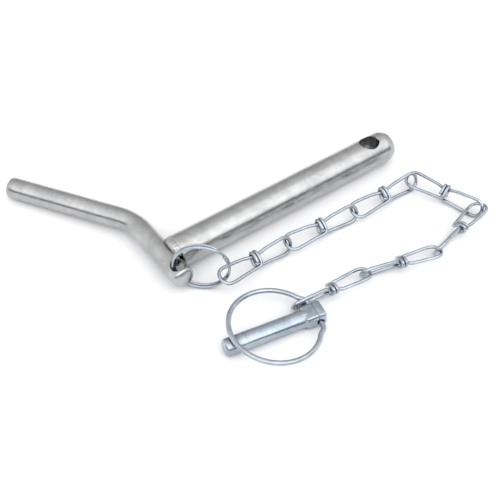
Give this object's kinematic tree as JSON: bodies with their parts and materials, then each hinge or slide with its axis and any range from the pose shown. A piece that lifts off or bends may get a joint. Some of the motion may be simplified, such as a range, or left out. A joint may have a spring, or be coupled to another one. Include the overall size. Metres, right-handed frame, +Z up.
{
  "type": "hitch pin lock",
  "caption": "Steel hitch pin with a bent welded handle, tethered by a knotted wire chain to a snap-ring linch pin that locks its cross hole.",
  "frame": {"origin": "middle of the whole part's footprint, on the ground it lies on", "axes": "+Z up from the ground, +X along the main pin from the handle to its tip, +Y towards the handle's free end"},
  "size_m": [0.2526, 0.2282, 0.0362],
  "materials": {
    "zinc_bar": "satin clear zinc plating over drawn steel bar, neutral grey",
    "weld": "rippled weld metal under the same plating, duller",
    "zinc_wire": "bright bluish zinc plating on drawn wire",
    "zinc_linch": "bright bluish zinc plating on a turned and pressed pin"
  },
  "bodies": {
    "root": {"main_pin": "zinc_bar", "handle_rod": "zinc_bar", "weld_top": "weld", "weld_bottom": "weld"},
    "split_ring": {"split_ring": "zinc_wire"},
    "link_1": {"chain_link_1": "zinc_wire"},
    "link_2": {"chain_link_2": "zinc_wire"},
    "link_3": {"chain_link_3": "zinc_wire"},
    "link_4": {"chain_link_4": "zinc_wire"},
    "link_5": {"chain_link_5": "zinc_wire"},
    "link_6": {"chain_link_6": "zinc_wire"},
    "link_7": {"chain_link_7": "zinc_wire"},
    "linch_pin": {"linch_pin": "zinc_linch"},
    "linch_ring": {"linch_ring": "zinc_wire"}
  },
  "joints": [
    {"name": "ring_in_rod", "type": "hinge", "parent": "root", "child": "split_ring", "pos_m": [-0.07086, -0.02053, 0.01151], "axis": [0, 0, -1], "range_deg": [-2, 75]},
    {"name": "link_1_on_ring", "type": "hinge", "parent": "split_ring", "child": "link_1", "pos_m": [-0.04825, -0.03951, 0.01138], "axis": [0, 0, -1], "range_deg": [-4, 60]},
    {"name": "link_2_on_link_1", "type": "hinge", "parent": "link_1", "child": "link_2", "pos_m": [0.00046, -0.03696, 0.0067], "axis": [0, 0, 1], "range_deg": [-1, 8]},
    {"name": "link_3_on_link_2", "type": "hinge", "parent": "link_2", "child": "link_3", "pos_m": [0.05228, -0.03967, 0.0067], "axis": [0, 0, 1], "range_deg": [0, 15]},
    {"name": "link_4_on_link_3", "type": "hinge", "parent": "link_3", "child": "link_4", "pos_m": [0.10448, -0.03967, 0.0067], "axis": [0, 0, 1], "range_deg": [0, 75]},
    {"name": "link_5_on_link_4", "type": "hinge", "parent": "link_4", "child": "link_5", "pos_m": [0.11979, -0.08411, 0.0067], "axis": [0, 0, 1], "range_deg": [0, 90]},
    {"name": "link_6_on_link_5", "type": "hinge", "parent": "link_5", "child": "link_6", "pos_m": [0.07321, -0.09573, 0.0067], "axis": [0.2419, 0.9703, 0], "range_deg": [0, 50]},
    {"name": "link_7_on_link_6", "type": "hinge", "parent": "link_6", "child": "link_7", "pos_m": [0.02353, -0.08334, 0.0067], "axis": [0, 0, 1], "range_deg": [-3, 80]},
    {"name": "linch_pin_on_link_7", "type": "hinge", "parent": "link_7", "child": "linch_pin", "pos_m": [-0.01924, -0.09019, 0.0055], "axis": [0.1822, 0.9833, 0], "range_deg": [0, 60]},
    {"name": "snap_ring_on_linch_pin", "type": "hinge", "parent": "linch_pin", "child": "linch_ring", "pos_m": [-0.01924, -0.09019, 0.0055], "axis": [0.1822, 0.9833, 0], "range_deg": [0, 95]}
  ]
}
